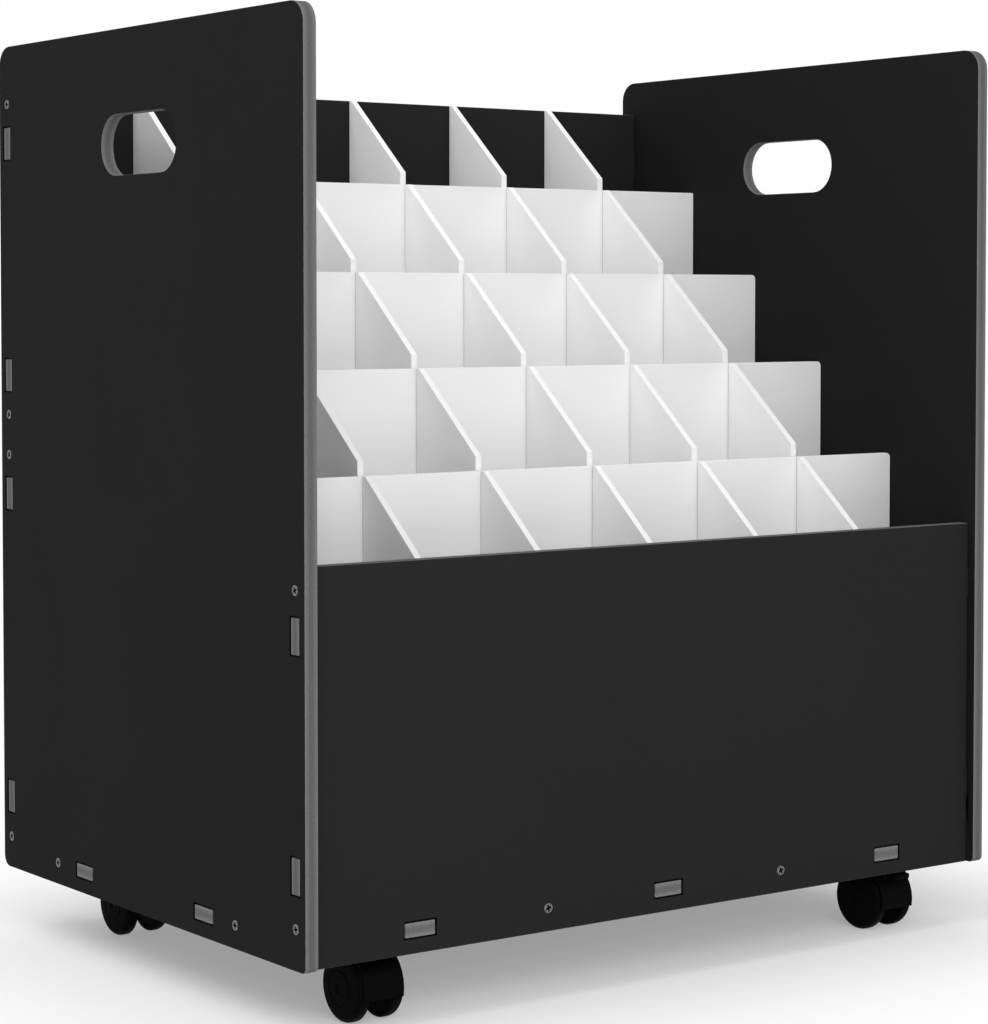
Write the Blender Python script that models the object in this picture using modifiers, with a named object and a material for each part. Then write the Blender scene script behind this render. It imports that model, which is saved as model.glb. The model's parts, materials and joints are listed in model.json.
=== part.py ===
"""Blueprint roll storage cart: a case of slotted boards, a stepped crate of dividers and four casters.

Metres, +Z up. The origin is on the floor under the middle of the case; -Y is the front.
"""
import math

import bmesh
import bpy
from mathutils import Vector

# Fits between pieces
SEAT_GAP = 0.0003
TAB_CLEARANCE = 0.0006
TAB_RECESS = 0.0004
LAP_CLEARANCE = 0.0007
TURN_CLEARANCE = 0.0003
SCREW_CLEARANCE = 0.0003

# Case boards; heights are above the side panels' lower edge unless they say otherwise
CASE_WIDTH = 0.612
CASE_DEPTH = 0.430
SIDE_HEIGHT = 0.620
BOARD = 0.010
FRONT_SETBACK = 0.007
BACK_SETBACK = 0.007
BOTTOM_RAISE = 0.0108
FRONT_HEIGHT = 0.260
UPPER_BACK_HEIGHT = 0.263
BACK_DROP = 0.028
TOP_CORNER_RADIUS = 0.015
REAR_FOOT_RADIUS = 0.0085
FRONT_FOOT_RADIUS = 0.0045

# Hand-holes: the drop is from the side panel's top edge to the middle of the hole
HANDLE_LENGTH = 0.107
HANDLE_HEIGHT = 0.043
HANDLE_DROP = 0.081

# Tabs and screws that join the boards, measured from the edge of the board that has them
TAB_LENGTH = 0.024
END_TAB_INSET = 0.0445
END_SCREW_INSET = 0.015
FRONT_FOOT_TAB = 0.061
FRONT_FOOT_SCREW = 0.027
BACK_FOOT_TAB = 0.054
BACK_FOOT_SCREW = 0.0235

# Tabs and screws of the bottom panel, measured from the outside of the case
BOTTOM_TAB_INSET = 0.1295
BOTTOM_SCREW_INSET = 0.088
CROSS_TAB_INSET = 0.094

# Slot crate
DIVIDER = 0.005
COLUMNS = 6
ROWS = 5
STEP_RISE = 0.0705
STEP_DROP = 0.010
TOOTH_FLAT = 0.003
CROSS_CORNER_RADIUS = 0.0035
REAR_CROSS_CORNER_RADIUS = 0.001

# Countersunk screws
SCREW_HEAD_RADIUS = 0.00375
SCREW_SHANK_RADIUS = 0.00175
SCREW_LENGTH = 0.030
SCREW_TIP = 0.003
SCREW_SINK = 0.0002
RECESS_SPAN = 0.0044
RECESS_WIDTH = 0.0010
RECESS_DEPTH = 0.0012

# Casters; the kingpin insets are from the outside of the case
KINGPIN_SIDE_INSET = 0.0725
KINGPIN_END_INSET = 0.058
CASTER_TRAIL = 0.0146
PLATE_SIZE = 0.042
PLATE_THICKNESS = 0.0025
PLATE_CORNER_RADIUS = 0.005
PLATE_HOLE_PITCH = 0.032
PLATE_HOLE_RADIUS = 0.0022
KINGPIN_RADIUS = 0.004
KINGPIN_LENGTH = 0.020
SOCKET_WALL = 0.0045
NECK_RADIUS = 0.0105
NECK_RISE = 0.0065
HOOD_CLEARANCE = 0.0010
HOOD_WALL = 0.0015
HOOD_FRONT_ANGLE = math.radians(-12)
HOOD_REAR_ANGLE = math.radians(160)
AXLE_RADIUS = 0.003
AXLE_BOSS_RADIUS = 0.0118

# Wheels
WHEEL_RADIUS = 0.0235
WHEEL_WIDTH = 0.0105
WHEEL_SIDE_GAP = 0.0005
WHEEL_SHOULDER = 0.0043
WHEEL_CROWN = 0.0012
WHEEL_CHAMFER = 0.001
WHEEL_BORE_DEPTH = 0.007

# Brake levers; the angles are about the axle or the lever's pivot, from the horizontal
LEVER_ANGLE = math.radians(45)
LEVER_TILT = math.radians(-5)
LEVER_LENGTH = 0.012
LEVER_WIDTH = 0.015
LEVER_THICKNESS = 0.003
LEVER_CORNER_RADIUS = 0.003
LEVER_ROOT_RADIUS = 0.0026
LEVER_ROOT_SHOULDER = 0.0005
LEVER_PIN_RADIUS = 0.0013
EAR_RADIUS = 0.0032
EAR_THICKNESS = 0.0025
BRAKED_CASTERS = ("front_right", "rear_left")

# Facets of round shapes
CORNER_STEPS = 6
HANDLE_STEPS = 16
SCREW_SIDES = 14
HOLE_SIDES = 12
WHEEL_SIDES = 28
SHOULDER_STEPS = 3
HOOD_STEPS = 14
HOOD_SIDES = 28
PIN_SIDES = 16

# Cutters reach this far past what they cut
CUT_MARGIN = 0.002

# Points closer than this are one point, and edges sharper than this angle look sharp
WELD_DISTANCE = 0.000001
SHARP_ANGLE = math.radians(35)

# Orientations of flat pieces: an outline becomes (x, z) facing the front, or (y, z) facing the side
FACING_FRONT = (math.pi / 2, 0.0, 0.0)
FACING_SIDE = (math.pi / 2, 0.0, math.pi / 2)
FLAT = (0.0, 0.0, 0.0)

# Orientations of turned pieces: their own +Z points to this side of the cart
TO_LEFT = (0.0, -math.pi / 2, 0.0)
TO_RIGHT = (0.0, math.pi / 2, 0.0)
TO_FRONT = (math.pi / 2, 0.0, 0.0)
TO_BACK = (-math.pi / 2, 0.0, 0.0)

# Caster sizes worked out from the above
AXLE_Z = WHEEL_RADIUS
WELL_RADIUS = WHEEL_RADIUS + HOOD_CLEARANCE
HOOD_RADIUS = WELL_RADIUS + HOOD_WALL
NECK_TOP = AXLE_Z + HOOD_RADIUS + NECK_RISE
CASTER_HEIGHT = NECK_TOP + TURN_CLEARANCE + PLATE_THICKNESS
WEB_HALF = KINGPIN_RADIUS + TURN_CLEARANCE + SOCKET_WALL
WHEEL_INNER = WEB_HALF + WHEEL_SIDE_GAP
HOOD_HALF = WHEEL_INNER + WHEEL_WIDTH - WHEEL_SHOULDER
LEVER_ROOT_HALF = LEVER_WIDTH / 2 + LEVER_ROOT_SHOULDER
EAR_INNER = LEVER_ROOT_HALF + TURN_CLEARANCE
PIVOT_REACH = HOOD_RADIUS + TURN_CLEARANCE + LEVER_ROOT_RADIUS

# Faces of the case, worked out from the above
CASE_BOTTOM = CASTER_HEIGHT + SEAT_GAP - BOTTOM_RAISE
CASE_TOP = CASE_BOTTOM + SIDE_HEIGHT
OUTER_X = CASE_WIDTH / 2
INNER_X = OUTER_X - BOARD
FRONT_EDGE = -CASE_DEPTH / 2
BACK_EDGE = CASE_DEPTH / 2
FRONT_FACE = FRONT_EDGE + FRONT_SETBACK
BACK_FACE = BACK_EDGE - BACK_SETBACK
CRATE_FRONT = FRONT_FACE + BOARD
CRATE_BACK = BACK_FACE - BOARD
BOTTOM_UNDERSIDE = CASE_BOTTOM + BOTTOM_RAISE
BOTTOM_MIDDLE = BOTTOM_UNDERSIDE + BOARD / 2
CRATE_FLOOR = BOTTOM_UNDERSIDE + BOARD + SEAT_GAP
BACK_TOP = CASE_TOP - BACK_DROP
BACK_SPLIT = BACK_TOP - UPPER_BACK_HEIGHT
FRONT_TOP = CASE_BOTTOM + FRONT_HEIGHT
TAB_REACH = SEAT_GAP + BOARD - TAB_RECESS
COLUMN_CLEAR = (2 * INNER_X - (COLUMNS - 1) * DIVIDER) / COLUMNS
ROW_CLEAR = (CRATE_BACK - CRATE_FRONT - (ROWS - 1) * DIVIDER) / ROWS


# Scene set-up

def clear_scene():
    for old in list(bpy.data.objects):
        bpy.data.objects.remove(old, do_unlink=True)


def new_collection(name, parent=None):
    collection = bpy.data.collections.new(name)
    (parent or bpy.context.scene.collection).children.link(collection)
    return collection


def make_material(name, colour, roughness, metallic=0.0):
    material = bpy.data.materials.new(name)
    material.use_nodes = True
    shader = material.node_tree.nodes["Principled BSDF"]
    shader.inputs["Base Color"].default_value = (*colour, 1.0)
    shader.inputs["Roughness"].default_value = roughness
    shader.inputs["Metallic"].default_value = metallic
    material.diffuse_color = (*colour, 1.0)
    return material


clear_scene()
CART = new_collection("blueprint_roll_storage_cart")
CUTTERS = new_collection("cutters")

BLACK_BOARD = make_material("black_board", (0.020, 0.020, 0.020), 0.50)
WHITE_BOARD = make_material("white_board", (0.780, 0.780, 0.775), 0.45)
BLACK_SCREW = make_material("black_screw", (0.030, 0.030, 0.032), 0.35, 0.9)
BLACK_PLATE = make_material("black_plate", (0.012, 0.012, 0.012), 0.40, 0.3)
BLACK_PLASTIC = make_material("black_plastic", (0.006, 0.006, 0.006), 0.45)
BLACK_WHEEL = make_material("black_wheel", (0.008, 0.008, 0.008), 0.55)
AXLE_STEEL = make_material("axle_steel", (0.560, 0.560, 0.570), 0.30, 1.0)


# Meshes

def mesh_of(obj):
    """The object's mesh with its modifiers, welded and facing out; the object itself is removed."""
    depsgraph = bpy.context.evaluated_depsgraph_get()
    mesh = bpy.data.meshes.new_from_object(obj.evaluated_get(depsgraph))
    bpy.data.objects.remove(obj, do_unlink=True)
    work = bmesh.new()
    work.from_mesh(mesh)
    bmesh.ops.remove_doubles(work, verts=work.verts, dist=WELD_DISTANCE)
    bmesh.ops.dissolve_degenerate(work, edges=work.edges, dist=WELD_DISTANCE)
    bmesh.ops.recalc_face_normals(work, faces=work.faces)
    work.to_mesh(mesh)
    work.free()
    return mesh


def sheet_mesh(loops, thickness):
    """A flat sheet, centred on its thickness: the first loop is its outline and the others are holes."""
    curve = bpy.data.curves.new("sheet", "CURVE")
    curve.dimensions = "2D"
    curve.fill_mode = "BOTH"
    curve.extrude = thickness / 2
    for loop in loops:
        spline = curve.splines.new("POLY")
        spline.points.add(len(loop) - 1)
        for point, (x, y) in zip(spline.points, loop):
            point.co = (x, y, 0.0, 1.0)
        spline.use_cyclic_u = True
    sheet = bpy.data.objects.new("sheet", curve)
    CUTTERS.objects.link(sheet)
    return mesh_of(sheet)


def turned_mesh(profile, sides):
    """A turned solid about its own Z; the profile of (radius, z) runs down its outer side."""
    mesh = bpy.data.meshes.new("turned")
    points = [(radius, 0.0, z) for radius, z in profile]
    mesh.from_pydata(points, [(i, i + 1) for i in range(len(points) - 1)], [])
    turned = bpy.data.objects.new("turned", mesh)
    CUTTERS.objects.link(turned)
    screw = turned.modifiers.new("turn", "SCREW")
    screw.axis = "Z"
    screw.angle = 2 * math.pi
    screw.steps = sides
    screw.render_steps = sides
    screw.use_merge_vertices = True
    screw.merge_threshold = WELD_DISTANCE
    return mesh_of(turned)


def cylinder_mesh(radius, bottom, top, sides):
    mesh = bpy.data.meshes.new("cylinder")
    work = bmesh.new()
    bmesh.ops.create_cone(work, cap_ends=True, segments=sides, radius1=radius, radius2=radius,
                          depth=top - bottom)
    bmesh.ops.translate(work, verts=work.verts, vec=(0.0, 0.0, (bottom + top) / 2))
    work.to_mesh(mesh)
    work.free()
    return mesh


# Outlines

def arc(centre, radius, start, end, steps):
    """Points on an arc from the start to the end angle, both included."""
    angles = [start + (end - start) * i / steps for i in range(steps + 1)]
    return [(centre[0] + radius * math.cos(a), centre[1] + radius * math.sin(a)) for a in angles]


def rounded(corners):
    """A closed outline from (point, radius) corners; a radius of 0 leaves its corner sharp."""
    outline = []
    count = len(corners)
    for i, (corner, radius) in enumerate(corners):
        here = Vector(corner)
        if radius <= 0:
            outline.append(tuple(here))
            continue
        before = Vector(corners[i - 1][0]) - here
        after = Vector(corners[(i + 1) % count][0]) - here
        half = before.angle(after) / 2
        reach = min(radius / math.tan(half), before.length / 2, after.length / 2)
        fillet = reach * math.tan(half)
        start = here + before.normalized() * reach
        end = here + after.normalized() * reach
        middle = here + (before.normalized() + after.normalized()).normalized() * (fillet / math.sin(half))
        first = math.atan2(*(start - middle).yx)
        sweep = (math.atan2(*(end - middle).yx) - first + math.pi) % (2 * math.pi) - math.pi
        outline.extend(arc(middle, fillet, first, first + sweep, CORNER_STEPS))
    return outline


def rectangle(x0, y0, x1, y1):
    return [(x0, y0), (x1, y0), (x1, y1), (x0, y1)]


def rounded_rectangle(x0, y0, x1, y1, radius):
    return rounded([(corner, radius) for corner in rectangle(x0, y0, x1, y1)])


def oblong(x, y, length, height):
    """A slot with round ends."""
    radius = height / 2
    reach = length / 2 - radius
    right = arc((x + reach, y), radius, -math.pi / 2, math.pi / 2, HANDLE_STEPS)
    left = arc((x - reach, y), radius, math.pi / 2, 3 * math.pi / 2, HANDLE_STEPS)
    return right + left


def tabbed_edge(start, end, tabs, along):
    """Points from the start corner up to the end corner, with a tab outwards at each place in tabs.

    The outline runs anticlockwise. along is 0 where tabs gives x and 1 where it gives y.
    """
    start = Vector(start)
    direction = (Vector(end) - start).normalized()
    outward = Vector((direction.y, -direction.x)) * TAB_REACH
    points = [tuple(start)]
    for tab in sorted(tabs, reverse=direction[along] < 0):
        root = start.copy()
        root[along] = tab
        near = root - direction * (TAB_LENGTH / 2)
        far = root + direction * (TAB_LENGTH / 2)
        points.extend(tuple(p) for p in (near, near + outward, far + outward, far))
    return points


def tabbed_panel(x0, y0, x1, y1, side_tabs=(), end_tabs=()):
    """A rectangle with tabs on both sides, at heights side_tabs, and on both ends, at places end_tabs."""
    return (tabbed_edge((x0, y0), (x1, y0), end_tabs, 0)
            + tabbed_edge((x1, y0), (x1, y1), side_tabs, 1)
            + tabbed_edge((x1, y1), (x0, y1), end_tabs, 0)
            + tabbed_edge((x0, y1), (x0, y0), side_tabs, 1))


def tab_slot(x, y, along):
    """The hole for a tab centred at (x, y), long in x where along is 0 and long in y where it is 1."""
    halves = [BOARD / 2 + TAB_CLEARANCE, BOARD / 2 + TAB_CLEARANCE]
    halves[along] = TAB_LENGTH / 2 + TAB_CLEARANCE
    return rectangle(x - halves[0], y - halves[1], x + halves[0], y + halves[1])


# Objects

def place(name, mesh, material, location=(0.0, 0.0, 0.0), rotation=FLAT, parent=None):
    piece = bpy.data.objects.new(name, mesh)
    CART.objects.link(piece)
    if material.name not in mesh.materials:
        mesh.materials.append(material)
    piece.location = location
    piece.rotation_euler = rotation
    piece.parent = parent
    return piece


def place_cutter(name, mesh, location=(0.0, 0.0, 0.0), rotation=FLAT):
    cutter = bpy.data.objects.new(name, mesh)
    CUTTERS.objects.link(cutter)
    cutter.location = location
    cutter.rotation_euler = rotation
    cutter.hide_render = True
    cutter.display_type = "WIRE"
    return cutter


def combine(piece, other, operation):
    boolean = piece.modifiers.new(operation.lower(), "BOOLEAN")
    boolean.operation = operation
    boolean.solver = "EXACT"
    boolean.object = other


def shade_round(mesh):
    mesh.shade_smooth()
    mesh.set_sharp_from_angle(angle=SHARP_ANGLE)
    return mesh


def solid_mesh(base, steps):
    """One mesh from a base mesh and a list of (operation, mesh, location, rotation) steps."""
    piece = place_cutter("base", base)
    tools = []
    for operation, mesh, location, rotation in steps:
        tool = place_cutter("tool", mesh, location, rotation)
        combine(piece, tool, operation)
        tools.append(tool)
    mesh = mesh_of(piece)
    for tool in tools:
        bpy.data.objects.remove(tool, do_unlink=True)
    return mesh


# Screws

def screw_profile(growth, above):
    """Half section of a screw, or of its hole when grown; a hole reaches above the head."""
    head_z = -SCREW_SINK
    neck_z = head_z - (SCREW_HEAD_RADIUS - SCREW_SHANK_RADIUS)
    tip_z = head_z - SCREW_LENGTH - growth
    head = SCREW_HEAD_RADIUS + growth
    shank = SCREW_SHANK_RADIUS + growth
    profile = [(0.0, head_z), (head, head_z)]
    if above > 0:
        profile = [(0.0, above), (head, above), (head, head_z)]
    return profile + [(shank, neck_z), (shank, tip_z + SCREW_TIP), (0.0, tip_z)]


def screw_mesh():
    """Screw with a cross recess in its head."""
    body = turned_mesh(screw_profile(0.0, 0.0), SCREW_SIDES)
    depth = RECESS_DEPTH + CUT_MARGIN
    half_span = RECESS_SPAN / 2
    half_width = RECESS_WIDTH / 2
    slot = sheet_mesh([rectangle(-half_span, -half_width, half_span, half_width)], depth)
    place_z = depth / 2 - RECESS_DEPTH - SCREW_SINK
    quarter_turn = (0.0, 0.0, math.pi / 2)
    cuts = [("DIFFERENCE", slot, (0.0, 0.0, place_z), turn) for turn in (FLAT, quarter_turn)]
    return solid_mesh(body, cuts)


def screw_boards(boards):
    """Give each board a collection of hole cutters, and one cut that takes them all."""
    holes = {}
    for board in boards:
        group = new_collection("holes_" + board.name, CUTTERS)
        cut = board.modifiers.new("screw_holes", "BOOLEAN")
        cut.operation = "DIFFERENCE"
        cut.solver = "EXACT"
        cut.operand_type = "COLLECTION"
        cut.collection = group
        holes[board.name] = group
    return holes


# Case boards

def end_heights(bottom, top, foot_inset, end_inset):
    """Heights of a panel's two tabs or screws at each end."""
    return (bottom + foot_inset, top - end_inset)


FRONT_TABS = end_heights(CASE_BOTTOM, FRONT_TOP, FRONT_FOOT_TAB, END_TAB_INSET)
FRONT_SCREWS = end_heights(CASE_BOTTOM, FRONT_TOP, FRONT_FOOT_SCREW, END_SCREW_INSET)
LOWER_BACK_TOP = BACK_SPLIT - SEAT_GAP
LOWER_TABS = end_heights(CASE_BOTTOM, LOWER_BACK_TOP, BACK_FOOT_TAB, END_TAB_INSET)
LOWER_SCREWS = end_heights(CASE_BOTTOM, LOWER_BACK_TOP, BACK_FOOT_SCREW, END_SCREW_INSET)
UPPER_TABS = end_heights(BACK_SPLIT, BACK_TOP, END_TAB_INSET, END_TAB_INSET)
UPPER_SCREWS = end_heights(BACK_SPLIT, BACK_TOP, END_SCREW_INSET, END_SCREW_INSET)
BOTTOM_TABS = (FRONT_EDGE + BOTTOM_TAB_INSET, BACK_EDGE - BOTTOM_TAB_INSET)
BOTTOM_SCREWS = (FRONT_EDGE + BOTTOM_SCREW_INSET, BACK_EDGE - BOTTOM_SCREW_INSET)
OUTER_CROSS_TAB = OUTER_X - CROSS_TAB_INSET
CROSS_TABS = (-OUTER_CROSS_TAB, 0.0, OUTER_CROSS_TAB)
CROSS_SCREWS = (-OUTER_CROSS_TAB / 2, OUTER_CROSS_TAB / 2)
FRONT_MIDDLE = FRONT_FACE + BOARD / 2
BACK_MIDDLE = BACK_FACE - BOARD / 2


def side_panel_mesh():
    outline = rounded([
        ((FRONT_EDGE, CASE_BOTTOM), FRONT_FOOT_RADIUS),
        ((BACK_EDGE, CASE_BOTTOM), REAR_FOOT_RADIUS),
        ((BACK_EDGE, CASE_TOP), TOP_CORNER_RADIUS),
        ((FRONT_EDGE, CASE_TOP), TOP_CORNER_RADIUS),
    ])
    handle = oblong(0.0, CASE_TOP - HANDLE_DROP, HANDLE_LENGTH, HANDLE_HEIGHT)
    slots = [tab_slot(FRONT_MIDDLE, z, 1) for z in FRONT_TABS]
    slots += [tab_slot(BACK_MIDDLE, z, 1) for z in LOWER_TABS + UPPER_TABS]
    slots += [tab_slot(y, BOTTOM_MIDDLE, 0) for y in BOTTOM_TABS]
    return sheet_mesh([outline, handle] + slots, BOARD)


def upright_mesh(bottom, top, tabs, slotted):
    """A front or back panel; a slotted one takes the bottom panel's tabs."""
    half = INNER_X - SEAT_GAP
    slots = [tab_slot(x, BOTTOM_MIDDLE, 0) for x in CROSS_TABS] if slotted else []
    return sheet_mesh([tabbed_panel(-half, bottom, half, top, side_tabs=tabs)] + slots, BOARD)


def bottom_panel_mesh():
    half = INNER_X - SEAT_GAP
    front = CRATE_FRONT + SEAT_GAP
    back = CRATE_BACK - SEAT_GAP
    return sheet_mesh([tabbed_panel(-half, front, half, back, BOTTOM_TABS, CROSS_TABS)], BOARD)


def build_case():
    side_x = OUTER_X - BOARD / 2
    side = side_panel_mesh()
    left = place("left_side_panel", side, BLACK_BOARD, (-side_x, 0.0, 0.0), FACING_SIDE)
    right = place("right_side_panel", side.copy(), BLACK_BOARD, (side_x, 0.0, 0.0), FACING_SIDE)
    front = place("front_panel", upright_mesh(CASE_BOTTOM, FRONT_TOP, FRONT_TABS, True), BLACK_BOARD,
                  (0.0, FRONT_MIDDLE, 0.0), FACING_FRONT)
    lower = place("lower_back_panel", upright_mesh(CASE_BOTTOM, LOWER_BACK_TOP, LOWER_TABS, True),
                  BLACK_BOARD, (0.0, BACK_MIDDLE, 0.0), FACING_FRONT)
    upper = place("upper_back_panel", upright_mesh(BACK_SPLIT, BACK_TOP, UPPER_TABS, False),
                  BLACK_BOARD, (0.0, BACK_MIDDLE, 0.0), FACING_FRONT)
    bottom = place("bottom_panel", bottom_panel_mesh(), BLACK_BOARD, (0.0, 0.0, BOTTOM_MIDDLE), FLAT)
    drive_screws(left, right, front, lower, upper, bottom)


def drive_screws(left, right, front, lower, upper, bottom):
    """Screw the boards together: each screw passes through one board into the edge of another."""
    holes = screw_boards((left, right, front, lower, upper, bottom))
    screw = shade_round(screw_mesh())
    hole = turned_mesh(screw_profile(SCREW_CLEARANCE, CUT_MARGIN), SCREW_SIDES)

    def drive(name, location, outward, boards):
        place(name, screw, BLACK_SCREW, location, outward)
        cutter = place_cutter("hole_for_" + name, hole, location, outward)
        for board in boards:
            holes[board.name].objects.link(cutter)

    side_places = [(FRONT_MIDDLE, z, front) for z in FRONT_SCREWS]
    side_places += [(BACK_MIDDLE, z, lower) for z in LOWER_SCREWS]
    side_places += [(BACK_MIDDLE, z, upper) for z in UPPER_SCREWS]
    side_places += [(y, BOTTOM_MIDDLE, bottom) for y in BOTTOM_SCREWS]
    for side, x, outward, hand in ((left, -OUTER_X, TO_LEFT, "left"), (right, OUTER_X, TO_RIGHT, "right")):
        for number, (y, z, board) in enumerate(side_places, 1):
            drive(f"{hand}_side_screw_{number}", (x, y, z), outward, (side, board))
    for number, x in enumerate(CROSS_SCREWS, 1):
        drive(f"front_screw_{number}", (x, FRONT_FACE, BOTTOM_MIDDLE), TO_FRONT, (front, bottom))
        drive(f"back_screw_{number}", (x, BACK_FACE, BOTTOM_MIDDLE), TO_BACK, (lower, bottom))


# Slot crate

def divider_x(number):
    """Middle of a long divider, counted from 1 at the left."""
    return -INNER_X + number * COLUMN_CLEAR + (number - 0.5) * DIVIDER


def cross_y(number):
    """Middle of a cross divider, counted from 1 at the front."""
    return CRATE_FRONT + number * ROW_CLEAR + (number - 0.5) * DIVIDER


def cross_top(number):
    """Top of a cross divider; the number after the last one is the back panel."""
    return BACK_TOP - (ROWS - number) * STEP_RISE


def lap_height(number):
    """Where the slots of a cross divider and of the long dividers meet."""
    return (CRATE_FLOOR + cross_top(number)) / 2


def long_divider_outline():
    """Sawtooth outline in (y, z): one tooth in each row, and a slot from above for each cross divider."""
    half_slot = DIVIDER / 2 + LAP_CLEARANCE
    front = CRATE_FRONT + SEAT_GAP
    back = CRATE_BACK - SEAT_GAP
    outline = [(back, CRATE_FLOOR), (back, cross_top(ROWS)), (back - TOOTH_FLAT, cross_top(ROWS))]
    for number in range(ROWS - 1, 0, -1):
        slot_back = cross_y(number) + half_slot
        slot_front = cross_y(number) - half_slot
        floor = lap_height(number) - SEAT_GAP
        top = cross_top(number)
        outline += [(slot_back, top + STEP_DROP), (slot_back, floor), (slot_front, floor)]
        outline += [(slot_front, top), (slot_front - TOOTH_FLAT, top)]
    outline += [(front, cross_top(0) + STEP_DROP), (front, CRATE_FLOOR)]
    return outline


def cross_divider_outline(number):
    """Outline in (x, z): rounded upper corners, and a slot from below for each long divider."""
    half = INNER_X - SEAT_GAP
    half_slot = DIVIDER / 2 + LAP_CLEARANCE
    radius = REAR_CROSS_CORNER_RADIUS if number == ROWS - 1 else CROSS_CORNER_RADIUS
    top = cross_top(number)
    outline = rounded([
        ((half, CRATE_FLOOR), 0.0),
        ((half, top), radius),
        ((-half, top), radius),
        ((-half, CRATE_FLOOR), 0.0),
    ])
    for column in range(1, COLUMNS):
        x = divider_x(column)
        roof = lap_height(number)
        outline += [(x - half_slot, CRATE_FLOOR), (x - half_slot, roof)]
        outline += [(x + half_slot, roof), (x + half_slot, CRATE_FLOOR)]
    return outline


def build_crate():
    long_divider = sheet_mesh([long_divider_outline()], DIVIDER)
    for number in range(1, COLUMNS):
        place(f"long_divider_{number}", long_divider, WHITE_BOARD, (divider_x(number), 0.0, 0.0), FACING_SIDE)
    for number in range(1, ROWS):
        mesh = sheet_mesh([cross_divider_outline(number)], DIVIDER)
        place(f"cross_divider_{number}", mesh, WHITE_BOARD, (0.0, cross_y(number), 0.0), FACING_FRONT)


# Casters: sizes are in the caster's own frame, with z from the floor and y from the kingpin

AXLE_CENTRE = (0.0, -CASTER_TRAIL, AXLE_Z)


def around_axle(radius, angle):
    """A (y, z) place at this distance from the axle; the angle is up from the front."""
    return (-CASTER_TRAIL - radius * math.cos(angle), AXLE_Z + radius * math.sin(angle))


def plate_mesh():
    """Top plate with the kingpin riveted into it."""
    half = PLATE_SIZE / 2
    pitch = PLATE_HOLE_PITCH / 2
    outline = rounded_rectangle(-half, -half, half, half, PLATE_CORNER_RADIUS)
    holes = []
    for x, y in rectangle(-pitch, -pitch, pitch, pitch):
        holes.append(arc((x, y), PLATE_HOLE_RADIUS, 0.0, 2 * math.pi, HOLE_SIDES)[:-1])
    plate_z = CASTER_HEIGHT - PLATE_THICKNESS / 2
    pin_bottom = CASTER_HEIGHT - PLATE_THICKNESS - KINGPIN_LENGTH - plate_z
    pin = cylinder_mesh(KINGPIN_RADIUS, pin_bottom, 0.0, PIN_SIDES)
    mesh = solid_mesh(sheet_mesh([outline] + holes, PLATE_THICKNESS), [("UNION", pin, (0.0, 0.0, 0.0), FLAT)])
    return mesh, plate_z


def ear_outline():
    """One of the two ears that hold a lever's pin, in (y, z)."""
    pivot = around_axle(PIVOT_REACH, LEVER_ANGLE)
    foot = around_axle(HOOD_RADIUS - HOOD_WALL / 2, LEVER_ANGLE)
    across = math.pi - LEVER_ANGLE
    crown = arc(pivot, EAR_RADIUS, across - math.pi / 2, across + math.pi / 2, CORNER_STEPS)
    shift = Vector(foot) - Vector(pivot)
    return crown + [tuple(Vector(crown[-1]) + shift), tuple(Vector(crown[0]) + shift)]


def housing_mesh(braked):
    """Hood, web and neck in one moulding, hollowed for the wheels and bored for the kingpin and the axle."""
    sweep = HOOD_REAR_ANGLE - HOOD_FRONT_ANGLE
    rim = [around_axle(HOOD_RADIUS, HOOD_FRONT_ANGLE + sweep * i / HOOD_STEPS) for i in range(HOOD_STEPS + 1)]
    hood = sheet_mesh([[around_axle(0.0, 0.0)] + rim], 2 * HOOD_HALF)
    neck = cylinder_mesh(NECK_RADIUS, around_axle(HOOD_RADIUS, HOOD_REAR_ANGLE)[1], NECK_TOP, PIN_SIDES)
    boss_half = (WEB_HALF + HOOD_HALF) / 2
    boss = cylinder_mesh(AXLE_BOSS_RADIUS, -boss_half, boss_half, PIN_SIDES)
    well = cylinder_mesh(WELL_RADIUS, WEB_HALF, HOOD_HALF + CUT_MARGIN, HOOD_SIDES)
    kingpin_bore = cylinder_mesh(KINGPIN_RADIUS + TURN_CLEARANCE, NECK_TOP - KINGPIN_LENGTH,
                                 NECK_TOP + CUT_MARGIN, PIN_SIDES)
    axle_bore = cylinder_mesh(AXLE_RADIUS + TURN_CLEARANCE, -HOOD_HALF, HOOD_HALF, PIN_SIDES)
    origin = (0.0, 0.0, 0.0)
    steps = [
        ("UNION", hood, origin, FACING_SIDE),
        ("UNION", boss, AXLE_CENTRE, TO_RIGHT),
        ("DIFFERENCE", well, AXLE_CENTRE, TO_LEFT),
        ("DIFFERENCE", well, AXLE_CENTRE, TO_RIGHT),
        ("DIFFERENCE", kingpin_bore, origin, FLAT),
        ("DIFFERENCE", axle_bore, AXLE_CENTRE, TO_RIGHT),
    ]
    if braked:
        ear = sheet_mesh([ear_outline()], EAR_THICKNESS)
        ear_x = EAR_INNER + EAR_THICKNESS / 2
        pin_hole = cylinder_mesh(LEVER_PIN_RADIUS + TURN_CLEARANCE, -HOOD_HALF, HOOD_HALF, PIN_SIDES)
        steps += [
            ("UNION", ear, (-ear_x, 0.0, 0.0), FACING_SIDE),
            ("UNION", ear, (ear_x, 0.0, 0.0), FACING_SIDE),
            ("DIFFERENCE", pin_hole, (0.0, *around_axle(PIVOT_REACH, LEVER_ANGLE)), TO_RIGHT),
        ]
    return shade_round(solid_mesh(neck, steps))


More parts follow.
